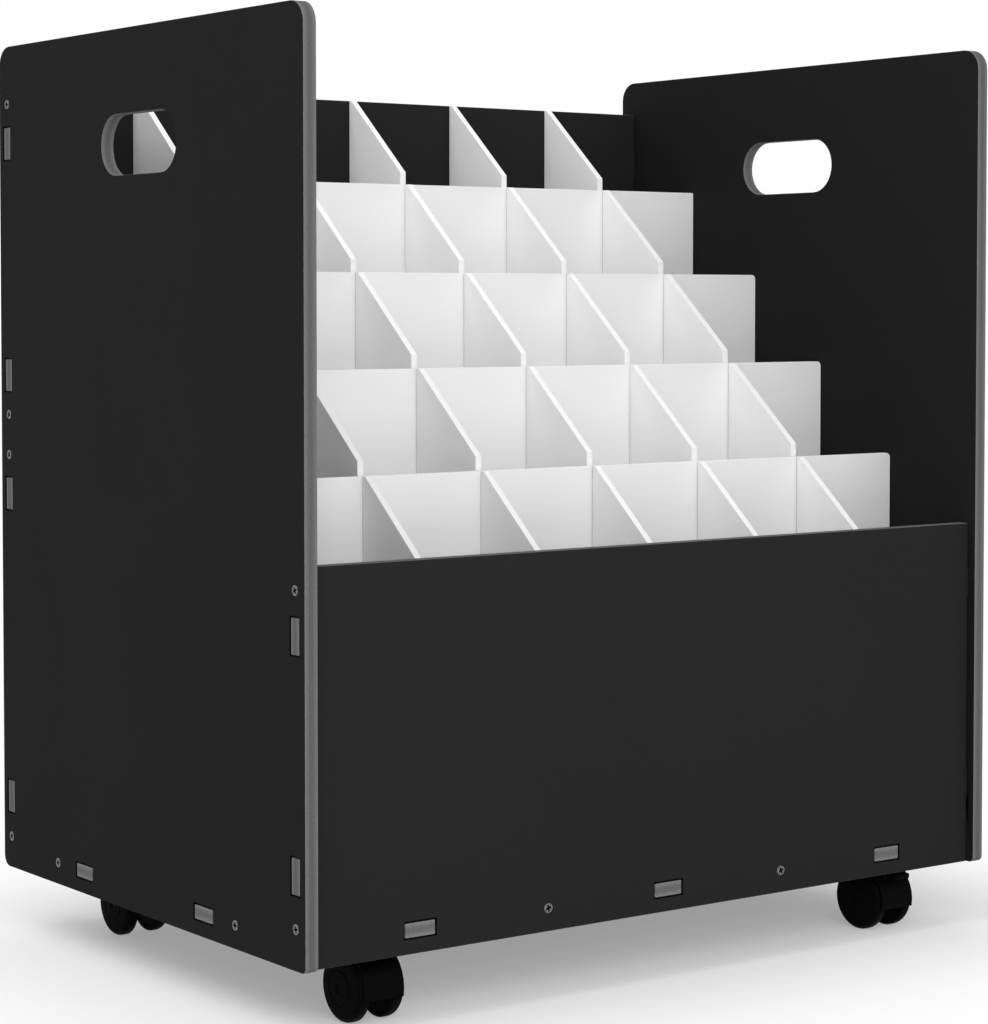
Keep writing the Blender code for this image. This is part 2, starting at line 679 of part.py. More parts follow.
def wheel_mesh():
    """Wheel with a domed outer face, turned about its own Z, which points away from the web."""
    outer = WHEEL_INNER + WHEEL_WIDTH
    shoulder_centre = (WHEEL_RADIUS - WHEEL_SHOULDER, outer - WHEEL_CROWN - WHEEL_SHOULDER)
    bore = AXLE_RADIUS + TURN_CLEARANCE
    bore_end = WHEEL_INNER + WHEEL_BORE_DEPTH
    profile = [(0.0, outer)]
    profile += arc(shoulder_centre, WHEEL_SHOULDER, math.pi / 2, 0.0, SHOULDER_STEPS)
    profile += [(WHEEL_RADIUS, WHEEL_INNER + WHEEL_CHAMFER), (WHEEL_RADIUS - WHEEL_CHAMFER, WHEEL_INNER)]
    profile += [(bore, WHEEL_INNER), (bore, bore_end), (0.0, bore_end)]
    return shade_round(turned_mesh(profile, WHEEL_SIDES))


def lever_mesh():
    """Brake lever about its pivot: a flat pedal, a round root and the pin through it."""
    half = LEVER_WIDTH / 2
    pin_half = EAR_INNER + EAR_THICKNESS
    pedal_outline = rounded([
        ((half, 0.0), 0.0),
        ((-half, 0.0), 0.0),
        ((-half, -LEVER_LENGTH), LEVER_CORNER_RADIUS),
        ((half, -LEVER_LENGTH), LEVER_CORNER_RADIUS),
    ])
    pedal = sheet_mesh([pedal_outline], LEVER_THICKNESS)
    root = cylinder_mesh(LEVER_ROOT_RADIUS, -LEVER_ROOT_HALF, LEVER_ROOT_HALF, PIN_SIDES)
    pin = cylinder_mesh(LEVER_PIN_RADIUS, -pin_half, pin_half, PIN_SIDES)
    origin = (0.0, 0.0, 0.0)
    steps = [("UNION", root, origin, TO_RIGHT), ("UNION", pin, origin, TO_RIGHT)]
    return shade_round(solid_mesh(pedal, steps))


def build_casters():
    plate, plate_z = plate_mesh()
    housings = {braked: housing_mesh(braked) for braked in (False, True)}
    wheel = wheel_mesh()
    lever = lever_mesh()
    axle_half = WHEEL_INNER + WHEEL_BORE_DEPTH - TURN_CLEARANCE
    axle = shade_round(cylinder_mesh(AXLE_RADIUS, -axle_half, axle_half, PIN_SIDES))
    kingpin_x = OUTER_X - KINGPIN_SIDE_INSET
    ends = {"front": FRONT_EDGE + KINGPIN_END_INSET, "rear": BACK_EDGE - KINGPIN_END_INSET}
    for end, y in ends.items():
        for hand, x in (("left", -kingpin_x), ("right", kingpin_x)):
            caster = f"{end}_{hand}"
            braked = caster in BRAKED_CASTERS
            swivel = bpy.data.objects.new(caster + "_swivel", None)
            CART.objects.link(swivel)
            swivel.location = (x, y, 0.0)
            place(caster + "_caster_plate", plate, BLACK_PLATE, (x, y, plate_z))
            place(caster + "_caster_housing", housings[braked], BLACK_PLASTIC, parent=swivel)
            place(caster + "_caster_axle", axle, AXLE_STEEL, AXLE_CENTRE, TO_RIGHT, swivel)
            place(caster + "_left_wheel", wheel, BLACK_WHEEL, AXLE_CENTRE, TO_LEFT, swivel)
            place(caster + "_right_wheel", wheel, BLACK_WHEEL, AXLE_CENTRE, TO_RIGHT, swivel)
            if braked:
                pivot = (0.0, *around_axle(PIVOT_REACH, LEVER_ANGLE))
                place(caster + "_brake_lever", lever, BLACK_PLASTIC, pivot, (-LEVER_TILT, 0.0, 0.0), swivel)


build_case()
build_crate()
build_casters()
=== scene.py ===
"""Looks of the blueprint roll storage cart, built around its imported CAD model.

Metres, +Z up, -Y is the front. The boards, dividers, caster plates, axles and mouldings are the CAD
solids with their edges rounded; the screws, the wheels and the brake levers' ribs are modelled here.
"""
import json
import math

import bmesh
import bpy
from mathutils import Matrix, Vector


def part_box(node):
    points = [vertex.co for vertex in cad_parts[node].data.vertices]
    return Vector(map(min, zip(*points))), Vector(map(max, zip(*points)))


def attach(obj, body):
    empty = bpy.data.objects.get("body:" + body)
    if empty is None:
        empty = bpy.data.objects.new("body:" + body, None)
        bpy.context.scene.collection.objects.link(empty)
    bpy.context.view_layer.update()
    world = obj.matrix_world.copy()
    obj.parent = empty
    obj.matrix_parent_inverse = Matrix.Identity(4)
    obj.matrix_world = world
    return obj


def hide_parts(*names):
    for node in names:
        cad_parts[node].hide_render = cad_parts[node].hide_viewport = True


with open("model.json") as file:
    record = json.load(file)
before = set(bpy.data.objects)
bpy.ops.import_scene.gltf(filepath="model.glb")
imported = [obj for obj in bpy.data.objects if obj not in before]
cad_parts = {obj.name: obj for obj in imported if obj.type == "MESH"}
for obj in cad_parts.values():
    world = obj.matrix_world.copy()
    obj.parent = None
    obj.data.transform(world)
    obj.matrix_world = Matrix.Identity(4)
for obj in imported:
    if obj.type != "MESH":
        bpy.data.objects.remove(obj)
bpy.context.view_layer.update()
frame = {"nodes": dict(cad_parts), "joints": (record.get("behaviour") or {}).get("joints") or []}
NODES = frame["nodes"]
JOINTS = {joint["name"]: joint for joint in frame["joints"]}
CASTERS = ("front_left", "front_right", "rear_left", "rear_right")
BRAKED = ("front_right", "rear_left")

# Axes across the boards and dividers
ACROSS_X = (1.0, 0.0, 0.0)
ACROSS_Y = (0.0, 1.0, 0.0)
ACROSS_Z = (0.0, 0.0, 1.0)

# Turns that point a piece's own Z one way
FACING_LEFT = Matrix.Rotation(-math.pi / 2, 4, "Y")
FACING_RIGHT = Matrix.Rotation(math.pi / 2, 4, "Y")
FACING_FRONT = Matrix.Rotation(math.pi / 2, 4, "X")
FACING_BACK = Matrix.Rotation(-math.pi / 2, 4, "X")
FACING_DOWN = Matrix.Rotation(math.pi, 4, "X")

# Camera, at the photograph's viewing angle
CAMERA_PLACE = (-1.23915, -1.70083, 0.47868)
CAMERA_TURN = (math.radians(87.698), 0.0, math.radians(-36.059))
CAMERA_LENS = 97.39
CAMERA_SENSOR = 36.0
CAMERA_SHIFT_Y = -0.0985

# Lamps, each with its place and power, and the world's light
LAMPS = {
    "front": ((-1.1, -2.7, 1.4), 38.0),
    "fill": ((0.6, -2.8, 1.6), 8.0),
    "side": ((-2.4, 0.1, 3.2), 46.0),
    "corner": ((-2.0, -1.6, 2.6), 8.0),
    "top": ((-0.3, -0.4, 3.0), 8.0),
    "back": ((1.8, 2.2, 2.2), 12.0),
}
LAMP_TARGET = (0.0, 0.0, 0.35)
LAMP_SIZE = 2.0
WORLD_STRENGTH = 0.48
WHITE = (1.0, 1.0, 1.0, 1.0)

# Floor: it fades to white over a distance from the cart's footprint, between these shares of white
FLOOR_HALF = 12.0
FLOOR_CELLS = 8
FLOOR_TONES = ((0.95, 0.95, 0.95), (0.97, 0.97, 0.97))
FOOTPRINT_HALF = (0.29, 0.20, 1.0)
FADE_DISTANCE = 0.26
FADE_WHITE = (0.30, 1.0)

# Screws of the boards; each is turned by a few steps, in degrees
HEAD_RADIUS = 0.00372
SHANK_RADIUS = 0.00172
HEAD_SINK = 0.0002
SCREW_LENGTH = 0.030
SCREW_TIP = 0.003
SCREW_SIDES = 32
SCREW_STEP = 13
SCREW_STEPS = 7
RIM_CHAMFER = 0.00025

# Cross recesses: sizes at the top, shares of them at the bottom, and heights between which the steel
# fades to painted shade, the shade deep in a recess
RECESS_SPAN = 0.0054
RECESS_WIDTH = 0.0016
RECESS_DEPTH = 0.0022
RECESS_SPAN_SHARE = 0.62
RECESS_WIDTH_SHARE = 0.80
RECESS_PAINTED_SHADE = (-0.0009, -0.0004)

# Screws of the caster plates, around the kingpin; each is turned by a few steps, in degrees
PLATE_THICKNESS = 0.0025
PLATE_SCREW_REACH = 0.016
PLATE_SCREW_STEP = 29
PAN_RADIUS = 0.0036
PAN_HEIGHT = 0.0021
PAN_CORNER = 0.0012
PAN_CORNER_STEPS = 5
PAN_RECESS = 0.0014
PAN_SHANK = 0.0019
PAN_SHANK_LENGTH = 0.0024
PAN_SIDES = 28

# Wheels: distances along the axle are from the middle of the caster
WHEEL_RADIUS = 0.0235
WHEEL_INNER = 0.0093
WHEEL_OUTER = 0.0198
WHEEL_CLEARANCE = 0.00015
WHEEL_BORE = 0.0033
WHEEL_BORE_END = 0.0163
WHEEL_SHOULDER = 0.0043
WHEEL_SHOULDER_TOP = 0.0186
WHEEL_SHOULDER_STEPS = 8
WHEEL_SIDES = 64

# Outer face of a wheel, by radius and depth: hub dimple, disc and ring groove
HUB_DIMPLE = ((0.0, 0.0008), (0.0026, 0.0008), (0.0030, 0.0003))
DISC = ((0.0036, 0.0), (0.0060, 0.00008), (0.0110, 0.0003))
RING_GROOVE = ((0.0114, 0.0008), (0.0126, 0.0009), (0.0130, 0.00052))

# Inner face of a wheel, by radius and depth: rounded rim and hollow
INNER_RIM = ((WHEEL_RADIUS, 0.0010), (WHEEL_RADIUS - 0.0004, 0.0003), (WHEEL_RADIUS - 0.0010, 0.0))
INNER_HOLLOW = ((0.0212, 0.0), (0.0206, 0.0012), (0.0100, 0.0012), (0.0094, 0.0))

# Ribs on the brake levers, from the lever's pivot
LEVER_TILT = math.radians(5)
LEVER_TOP = 0.0015
RIB_LENGTH = 0.0100
RIB_WIDTH = 0.0011
RIB_HEIGHT = 0.0006
RIB_ROUNDING = 0.00025
RIB_PLACES = (-0.0050, -0.0075, -0.0100)

# Roundings of edges
BOARD_ROUNDING = 0.0005
TAB_ROUNDING = 0.0012
SLOT_ROUNDING = 0.0010
DIVIDER_ROUNDING = 0.0003
MOULDING_ROUNDING = 0.0004
PLATE_ROUNDING = 0.0003
ROUNDING_SEGMENTS = 2
SHARP_EDGE = math.radians(40)

# Edges of a board, by how far inside its outline their middles lie and how far either way they may be
TAB_CORNERS = (0.0050, 0.0008)
TAB_ROOTS = (0.0100, 0.0003)
JOINT_EDGES = (0.0141, 0.0080)
SLOT_EDGE_LENGTH = 0.005
OUTER_MARGIN = 0.002

# Limits for welding, flattening and shading meshes
CAD_WELD = 0.00001
SIDE_WELD = 0.000002
MESH_WELD = 0.000001
FLAT_ANGLE = math.radians(1)
FLAT_DEPTH = 0.00002
COUNT_MARGIN = 0.1
SMOOTH_ANGLE = math.radians(35)

# Ranges of noise that materials spread over their tones and roughness
NOISE_MIDDLE = (0.3, 0.7)
NOISE_WIDE = (0.25, 0.75)

# Boards: linear tones of faces and cores, and of the painted shade in the gaps of their joints, which the
# screws' recesses also take
# Painted shade: the side panels' face is a darker copy of the same black face
SHADED_SIDE_FACE = (0.0104, 0.0132)
UPRIGHT_FACE = (0.0152, 0.0190)
CORE = (0.078, 0.125)
# Painted light: a lighter copy of the core, for the bottom panel
LIT_FLAT_CORE = (0.096, 0.154)
# Painted highlight: how much paler the core is near the faces
HIGHLIGHT_SHARE = 1.50
PAINTED_SHADE_TONE = 0.0012
COOL_SHARE = 1.007
BOARD_ROUGHNESS = (0.70, 0.82)
BOARD_SPECULAR = 0.04

# Boards: how deep under a face the core's painted highlight reaches, and the strip inside the outline
# where the joints get painted shade
HIGHLIGHT_DEPTH = (0.0003, 0.0045)
JOINT_SHADE_START = (0.0049, 0.0053)
JOINT_SHADE_END = (0.025, 0.030)

# Boards: how far a surface turns to the face where the black starts, its nicks, and where a rim ends,
# which bounds the joints' painted shade
FACE_START = (0.55, 0.75)
NICK_REACH = 0.12
RIM_SHADE_END = (0.90, 0.99)

# Dividers
DIVIDER_FACE = ((0.815, 0.815, 0.812), (0.850, 0.850, 0.847))
# Cut edges: fibrous tones, a little paler than the faces as a painted highlight
DIVIDER_FIBRE_AND_HIGHLIGHT = ((0.825, 0.825, 0.822), (0.870, 0.870, 0.867))
DIVIDER_FACE_START = (0.40, 0.90)
DIVIDER_ROUGHNESS = (0.48, 0.60)
DIVIDER_SPECULAR = 0.35

# Steel
SCREW_TONES = ((0.090, 0.090, 0.092), (0.240, 0.240, 0.243))
PLATE_TONES = ((0.010, 0.010, 0.010), (0.020, 0.020, 0.020))
AXLE_TONES = ((0.480, 0.480, 0.490), (0.620, 0.620, 0.630))
STEEL_WEAR = (0.35, 0.7)

# Black plastic of the casters, and the wheels' dull and satin parts
PLASTIC_TONES = ((0.0008, 0.0008, 0.0008), (0.0016, 0.0016, 0.0016))
PLASTIC_ROUGHNESS = (0.50, 0.62)
PLASTIC_SPECULAR = 0.03
DULL_TONES = ((0.0012, 0.0012, 0.0012), (0.0032, 0.0032, 0.0031))
DULL_SCUFF = (0.4, 0.75)
SATIN_START = (0.15, 0.55)
DULL_TO_SATIN_ROUGHNESS = (0.70, 0.50)


# Nodes

def add_node(tree, kind, inputs, settings):
    """A node; an input is given a socket to link or a value to hold."""
    made = tree.nodes.new(kind)
    for key, value in settings.items():
        setattr(made, key, value)
    for key, value in inputs.items():
        if isinstance(value, bpy.types.NodeSocket):
            tree.links.new(value, made.inputs[key])
        else:
            made.inputs[key].default_value = value
    return made.outputs


def node(tree, kind, inputs, **settings):
    """The outputs of a shader node, or of one that geometry groups share with shaders."""
    return add_node(tree, "ShaderNode" + kind, inputs, settings)


def geometry(group, kind, inputs, **settings):
    """The outputs of a geometry node."""
    return add_node(group, "GeometryNode" + kind, inputs, settings)


def number(tree, operation, *values, **settings):
    """The result of a math node."""
    return node(tree, "Math", dict(enumerate(values)), operation=operation, **settings)[0]


def vector(tree, operation, *values):
    """The vector that a vector math node makes."""
    return node(tree, "VectorMath", dict(enumerate(values)), operation=operation)["Vector"]


def extent(tree, operation, *values):
    """The number that a vector math node makes."""
    return node(tree, "VectorMath", dict(enumerate(values)), operation=operation)["Value"]


def times(tree, first, second):
    return number(tree, "MULTIPLY", first, second)


def within(tree, value, centre, reach):
    """1 where a value is near a centre, 0 elsewhere."""
    return number(tree, "COMPARE", value, centre, reach)


def between(tree, share, first, second):
    """A number between two."""
    return node(tree, "MapRange", {"Value": share, "To Min": first, "To Max": second})["Result"]


def remap(tree, value, low, high, to_low=0.0, to_high=1.0):
    """A range of a value spread smoothly over another range."""
    inputs = {"Value": value, "From Min": low, "From Max": high, "To Min": to_low, "To Max": to_high}
    return node(tree, "MapRange", inputs, interpolation_type="SMOOTHSTEP")["Result"]


def mixed(tree, share, first, second):
    """A colour between two; each is a colour socket or three numbers."""
    colours = [c if isinstance(c, bpy.types.NodeSocket) else (*c, 1.0) for c in (first, second)]
    return node(tree, "Mix", {0: share, 6: colours[0], 7: colours[1]}, data_type="RGBA")[2]


def object_place(tree):
    return node(tree, "TexCoord", {})["Object"]


def noise(tree, place, scale, detail=2.0, rough=0.5):
    inputs = {"Vector": place, "Scale": scale, "Detail": detail, "Roughness": rough}
    return node(tree, "TexNoise", inputs)["Fac"]


def bump(tree, height, distance, strength, under=None):
    """A normal with bumps, on top of another normal if one is given."""
    inputs = {"Height": height, "Distance": distance, "Strength": strength}
    if under is not None:
        inputs["Normal"] = under
    return node(tree, "Bump", inputs)["Normal"]


def along(tree, line, axis):
    """How far a vector reaches along an axis, either way."""
    return number(tree, "ABSOLUTE", extent(tree, "DOT_PRODUCT", line, axis))


def facing(tree, axis):
    """1 where the surface faces along this axis, 0 where it faces across it."""
    return along(tree, node(tree, "TexCoord", {})["Normal"], axis)


def inset(tree, place, low, high, axis):
    """How far a place on a board lies under its faces, and how far inside its outline.

    The axis is across the board, and low and high are the corners of its box.
    """
    above = vector(tree, "SUBTRACT", place, low)
    below = vector(tree, "SUBTRACT", high, place)
    nearest = vector(tree, "MINIMUM", above, below)
    parts = node(tree, "SeparateXYZ", {0: vector(tree, "ADD", nearest, axis)})
    least = number(tree, "MINIMUM", parts[0], parts[1])
    return along(tree, nearest, axis), number(tree, "MINIMUM", least, parts[2])


# Materials

def new_material(name):
    made = bpy.data.materials.new(name)
    made.use_nodes = True
    return made, made.node_tree, made.node_tree.nodes["Principled BSDF"]


def finish_shader(tree, shader, colour, roughness, normal):
    tree.links.new(colour, shader.inputs["Base Color"])
    tree.links.new(roughness, shader.inputs["Roughness"])
    tree.links.new(normal, shader.inputs["Normal"])


def grey(tone):
    """A neutral colour, very slightly cool."""
    return (tone, tone, COOL_SHARE * tone)


def board_material(name, axis, face_tones, core_tones):
    """Black faced board: its edges show a grey core with a painted highlight near the faces, and its
    joints' walls and rims are painted black as shade.
    """
    made, tree, shader = new_material(name + "_board")
    place = object_place(tree)
    low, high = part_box(name)
    under, inside = inset(tree, place, low, high, axis)
    smudge = noise(tree, place, scale=5.0, detail=4.0, rough=0.6)
    skin = noise(tree, place, scale=1500.0)
    fibre = noise(tree, place, scale=1260.0, detail=5.0, rough=0.7)
    chips = noise(tree, place, scale=260.0, detail=4.0, rough=0.65)
    face = mixed(tree, smudge, *(grey(tone) for tone in face_tones))
    strands = remap(tree, fibre, *NOISE_MIDDLE)
    core = mixed(tree, strands, *(grey(tone) for tone in core_tones))
    # Painted highlight: the core is paler within a few millimetres of each face.
    pale = mixed(tree, strands, *(grey(HIGHLIGHT_SHARE * tone) for tone in core_tones))
    edge = mixed(tree, remap(tree, under, *HIGHLIGHT_DEPTH), pale, core)
    nicks = remap(tree, chips, *NOISE_MIDDLE, -NICK_REACH, NICK_REACH)
    worn = number(tree, "ADD", facing(tree, axis), nicks)
    # Painted shade: in the joint strip the slot walls and rims take the black face tone, and off the flat
    # face a darker tone still.
    past_start = remap(tree, inside, *JOINT_SHADE_START)
    joint = times(tree, past_start, remap(tree, inside, *JOINT_SHADE_END, 1.0, 0.0))
    black = number(tree, "MAXIMUM", remap(tree, worn, *FACE_START), joint)
    gap_shade = times(tree, joint, remap(tree, facing(tree, axis), *RIM_SHADE_END, 1.0, 0.0))
    colour = mixed(tree, gap_shade, mixed(tree, black, edge, face), grey(PAINTED_SHADE_TONE))
    roughness = remap(tree, smudge, *NOISE_WIDE, *BOARD_ROUGHNESS)
    shader.inputs["Specular IOR Level"].default_value = BOARD_SPECULAR
    skin_normal = bump(tree, skin, distance=0.00002, strength=0.35)
    normal = bump(tree, fibre, distance=0.00005, strength=0.25, under=skin_normal)
    finish_shader(tree, shader, colour, roughness, normal)
    return made


def divider_material(name, axis):
    """White faced board with a fibrous cut edge that carries a painted highlight, a shade paler than the
    faces; axis is across the board.
    """
    made, tree, shader = new_material(name)
    place = object_place(tree)
    cloud = noise(tree, place, scale=9.0, detail=4.0, rough=0.6)
    skin = noise(tree, place, scale=1100.0, detail=3.0)
    fibre = noise(tree, place, scale=900.0, detail=4.0, rough=0.7)
    face = mixed(tree, cloud, *DIVIDER_FACE)
    # Painted highlight: the cut edges are a shade paler than the faces.
    edge = mixed(tree, remap(tree, fibre, *NOISE_MIDDLE), *DIVIDER_FIBRE_AND_HIGHLIGHT)
    colour = mixed(tree, remap(tree, facing(tree, axis), *DIVIDER_FACE_START), edge, face)
    roughness = remap(tree, cloud, *NOISE_WIDE, *DIVIDER_ROUGHNESS)
    shader.inputs["Specular IOR Level"].default_value = DIVIDER_SPECULAR
    finish_shader(tree, shader, colour, roughness, bump(tree, skin, distance=0.00002, strength=0.4))
    return made


def steel_material(name, tones, rough, metallic, black=None):
    """Steel with fine turning marks and worn patches; below two heights, if given, it fades to painted
    shade, as deep in a screw's recess.
    """
    made, tree, shader = new_material(name)
    place = object_place(tree)
    grain = noise(tree, place, scale=2600.0, detail=3.0)
    wear = noise(tree, place, scale=420.0, detail=4.0, rough=0.65)
    colour = mixed(tree, remap(tree, wear, *STEEL_WEAR), *tones)
    # Painted shade: below the given heights the steel turns near black.
    if black:
        height = node(tree, "SeparateXYZ", {0: place})["Z"]
        colour = mixed(tree, remap(tree, height, *black), grey(PAINTED_SHADE_TONE), colour)
    roughness = remap(tree, wear, *NOISE_MIDDLE, *rough)
    shader.inputs["Metallic"].default_value = metallic
    finish_shader(tree, shader, colour, roughness, bump(tree, grain, distance=0.00001, strength=0.5))
    return made


def plastic_material(name):
    """Black moulded plastic with an even fine texture and handling marks."""
    made, tree, shader = new_material(name)
    place = object_place(tree)
    smudge = noise(tree, place, scale=60.0, detail=4.0, rough=0.6)
    grain = noise(tree, place, scale=1900.0)
    colour = mixed(tree, smudge, *PLASTIC_TONES)
    roughness = remap(tree, smudge, *NOISE_WIDE, *PLASTIC_ROUGHNESS)
    shader.inputs["Specular IOR Level"].default_value = PLASTIC_SPECULAR
    finish_shader(tree, shader, colour, roughness, bump(tree, grain, distance=0.00003, strength=0.5))
    return made


def wheel_material(name):
    """Black wheel: satin where it faces along its own X, duller and scuffed elsewhere."""
    made, tree, shader = new_material(name)
    place = object_place(tree)
    share = remap(tree, facing(tree, ACROSS_X), *SATIN_START)
    scuff = noise(tree, place, scale=320.0, detail=5.0, rough=0.7)
    grain = noise(tree, place, scale=2400.0)
    dull = mixed(tree, remap(tree, scuff, *DULL_SCUFF), *DULL_TONES)
    satin = mixed(tree, scuff, *PLASTIC_TONES)
    colour = mixed(tree, share, dull, satin)
    roughness = remap(tree, share, 0.0, 1.0, *DULL_TO_SATIN_ROUGHNESS)
    shader.inputs["Specular IOR Level"].default_value = PLASTIC_SPECULAR
    finish_shader(tree, shader, colour, roughness, bump(tree, grain, distance=0.00003, strength=0.4))
    return made


DIVIDER_X = divider_material("divider_faced_sideways", ACROSS_X)
DIVIDER_Y = divider_material("divider_faced_forward", ACROSS_Y)
# The screws' recesses are painted near black below a depth, as shade.
SCREW_STEEL = steel_material("screw_steel", SCREW_TONES, rough=(0.28, 0.42), metallic=0.90,
                             black=RECESS_PAINTED_SHADE)
PLATE_STEEL = steel_material("plate_steel", PLATE_TONES, rough=(0.38, 0.52), metallic=0.30)
AXLE_STEEL = steel_material("axle_steel", AXLE_TONES, rough=(0.24, 0.40), metallic=1.0)
PLASTIC = plastic_material("caster_plastic")
WHEEL = wheel_material("wheel_rubber")


# CAD nodes: each keeps its mesh and gets rounded edges and its material

def new_group(name):
    """A geometry node group, with the sockets at its start and end."""
    group = bpy.data.node_groups.new(name, "GeometryNodeTree")
    for way in ("INPUT", "OUTPUT"):
        group.interface.new_socket("Geometry", in_out=way, socket_type="NodeSocketGeometry")
    start = group.nodes.new("NodeGroupInput")
    end = group.nodes.new("NodeGroupOutput")
    return group, start.outputs[0], end.inputs[0]


def smooth_group():
    group, start, end = new_group("shade_smooth")
    group.links.new(geometry(group, "SetShadeSmooth", {0: start})[0], end)
    return group


def edge_weight(group, low, high, axis):
    """The share of TAB_ROUNDING that each edge of a board gets; low and high are the corners of its box.

    The tabs' corners get all of it. Of the edges in the joints, only the outer rims of slots get any.
    """
    place = geometry(group, "InputPosition", {})[0]
    inside = inset(group, place, low, high, axis)[1]
    plain = between(group, within(group, inside, *TAB_CORNERS), BOARD_ROUNDING / TAB_ROUNDING, 1.0)
    ends = geometry(group, "InputMeshEdgeVertices", {})
    length = extent(group, "DISTANCE", ends["Position 1"], ends["Position 2"])
    long = number(group, "GREATER_THAN", length, SLOT_EDGE_LENGTH)
    twice_middle = along(group, vector(group, "ADD", low, high), axis)
    twice_place = times(group, along(group, place, axis), 2.0)
    outer = number(group, "GREATER_THAN", twice_place, number(group, "ADD", twice_middle, OUTER_MARGIN))
    rim = times(group, times(group, long, outer), SLOT_ROUNDING / TAB_ROUNDING)
    root = within(group, inside, *TAB_ROOTS)
    joint = number(group, "SUBTRACT", within(group, inside, *JOINT_EDGES), root, use_clamp=True)
    angle = geometry(group, "InputMeshEdgeAngle", {})["Unsigned Angle"]
    sharp = number(group, "GREATER_THAN", angle, SHARP_EDGE)
    return times(group, between(group, joint, plain, rim), sharp)


def board_group(name, axis):
    """Smooth shading, and the weights that say how much each edge of a board is rounded."""
    group, start, end = new_group(name)
    box = geometry(group, "BoundBox", {0: start})
    weight = edge_weight(group, box["Min"], box["Max"], axis)
    smooth = geometry(group, "SetShadeSmooth", {0: start})[0]
    inputs = {"Geometry": smooth, "Name": "bevel_weight_edge", "Value": weight}
    stored = geometry(group, "StoreNamedAttribute", inputs, data_type="FLOAT", domain="EDGE")[0]
    group.links.new(stored, end)
    return group


def flat_side(group, board, rim, level, axis_index, flip, material):
    """A board's flat side at one level along its axis, filled between its rims."""
    across, up = ((1, 2), (2, 0), (0, 1))[axis_index]
    parts = node(group, "SeparateXYZ", {0: geometry(group, "InputPosition", {})[0]})
    outline = geometry(group, "MeshToCurve", {"Mesh": board, "Selection": rim})[0]
    laid_place = node(group, "CombineXYZ", {0: parts[across], 1: parts[up]})[0]
    laid = geometry(group, "SetPosition", {"Geometry": outline, "Position": laid_place})[0]
    filled = geometry(group, "FillCurve", {0: laid})[0]
    raised_place = node(group, "CombineXYZ", {across: parts[0], up: parts[1], axis_index: level})[0]
    side = geometry(group, "SetPosition", {"Geometry": filled, "Position": raised_place})[0]
    if flip:
        side = geometry(group, "FlipFaces", {0: side})[0]
    return geometry(group, "SetMaterial", {"Geometry": side, "Material": material})[0]


def refill_group(name, axis, material):
    """A rounded board with its two flat sides filled anew, so that no face there folds over another."""
    group, start, end = new_group(name)
    axis_index = axis.index(1.0)
    box = geometry(group, "BoundBox", {0: start})
    place = geometry(group, "InputPosition", {})[0]
    under = inset(group, place, box["Min"], box["Max"], axis)[0]
    on_side = number(group, "LESS_THAN", under, FLAT_DEPTH)
    to_open = {"Geometry": start, "Selection": on_side}
    opened = geometry(group, "DeleteGeometry", to_open, domain="FACE")[0]
    faces = geometry(group, "InputMeshEdgeNeighbors", {})[0]
    open_edge = within(group, faces, 1.0, COUNT_MARGIN)
    join = group.nodes.new("GeometryNodeJoinGeometry")
    group.links.new(opened, join.inputs[0])
    coordinate = node(group, "SeparateXYZ", {0: place})[axis_index]
    for corner, flip in (("Min", True), ("Max", False)):
        level = node(group, "SeparateXYZ", {0: box[corner]})[axis_index]
        rim = times(group, open_edge, within(group, coordinate, level, FLAT_DEPTH))
        group.links.new(flat_side(group, opened, rim, level, axis_index, flip, material), join.inputs[0])
    merged = geometry(group, "MergeByDistance", {0: join.outputs[0], "Distance": SIDE_WELD})[0]
    group.links.new(geometry(group, "SetShadeSmooth", {0: merged})[0], end)
    return group


SMOOTH = smooth_group()


def add_group(cad, name, group):
    made = cad.modifiers.new(name, "NODES")
    made.node_group = group


def dress(name, material, rounding, weights=None, refill=None):
    """Rounded edges and a material.

    Weights say how much each edge is rounded, and refill fills the flat sides anew.
    """
    cad = NODES[name]
    weld = cad.modifiers.new("weld", "WELD")
    weld.merge_threshold = CAD_WELD
    flat = cad.modifiers.new("flat_faces", "DECIMATE")
    flat.decimate_type = "DISSOLVE"
    flat.angle_limit = FLAT_ANGLE
    add_group(cad, "smooth", weights or SMOOTH)
    rounded = cad.modifiers.new("rounding", "BEVEL")
    rounded.width = rounding
    rounded.segments = ROUNDING_SEGMENTS
    rounded.limit_method = "WEIGHT" if weights else "ANGLE"
    rounded.angle_limit = SHARP_EDGE
    rounded.use_clamp_overlap = weights is None
    rounded.loop_slide = weights is None
    if refill:
        add_group(cad, "flat_sides", refill)
    weighted = cad.modifiers.new("weighted_normals", "WEIGHTED_NORMAL")
    weighted.keep_sharp = False
    cad.data.materials.clear()
    cad.data.materials.append(material)


def dress_boards(names, axis, face_tones, core_tones):
    weights = board_group(names[0] + "_edges", axis)
    for name in names:
        material = board_material(name, axis, face_tones, core_tones)
        dress(name, material, TAB_ROUNDING, weights, refill_group(name + "_sides", axis, material))


